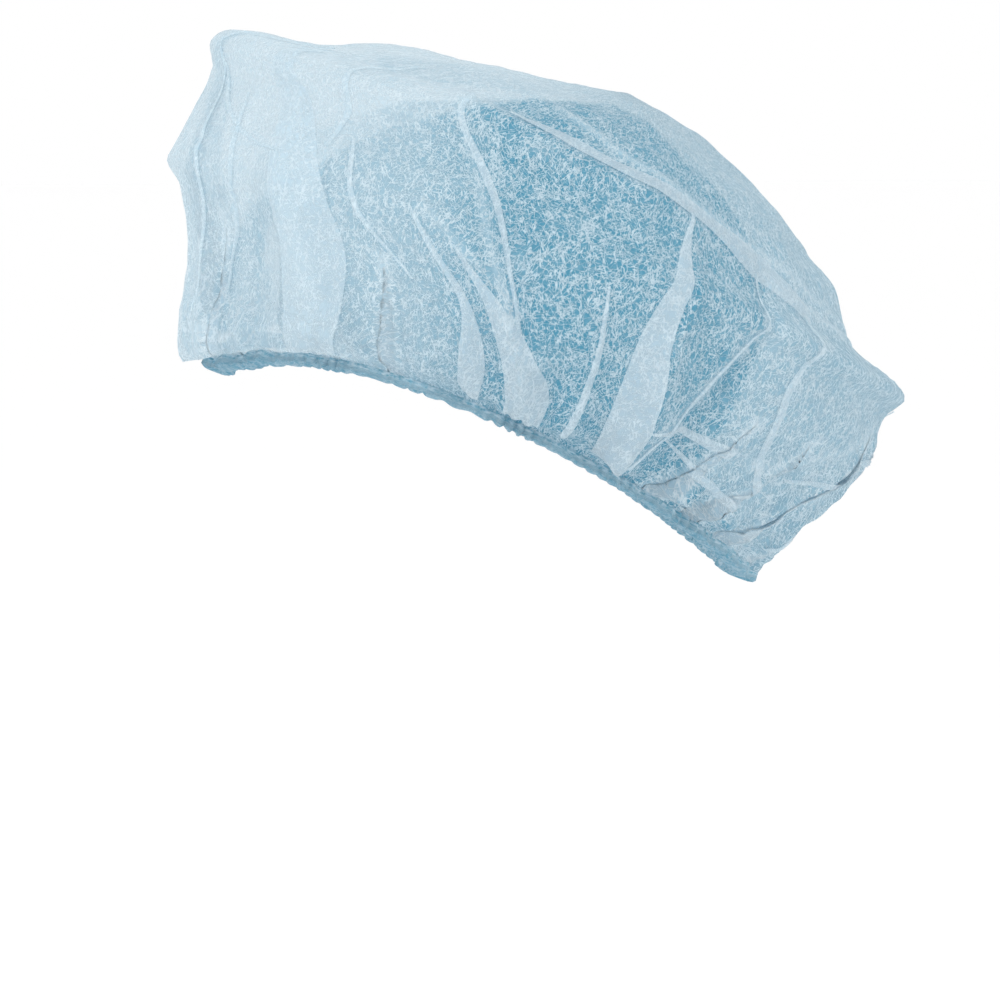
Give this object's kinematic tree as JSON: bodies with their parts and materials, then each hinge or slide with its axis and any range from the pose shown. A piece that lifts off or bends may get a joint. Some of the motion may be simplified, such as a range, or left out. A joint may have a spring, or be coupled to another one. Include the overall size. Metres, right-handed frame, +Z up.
{
  "type": "disposable hairnet",
  "caption": "Disposable bouffant hairnet of light-blue nonwoven cloth, full and puffy, with a narrow elastic hem gathered round the head opening, in the shape it has when worn",
  "frame": {"origin": "the middle of the head opening, where a head holds the hairnet", "axes": "+Z up as worn, the wearer faces -Y, the wearer's left is +X; the opening's plane slopes down 22 degrees to the nape"},
  "size_m": [0.2119, 0.2613, 0.1933],
  "materials": {
    "crown_cloth": "thin translucent spunbond nonwoven, light blue, matt with a faint sheen",
    "hem_cloth": "the same nonwoven folded and gathered, deeper blue where layers meet",
    "elastic_band": "pale covered elastic"
  },
  "bodies": {
    "root": {"crown": "crown_cloth", "hem": "hem_cloth", "elastic": "elastic_band"}
  },
  "joints": []
}
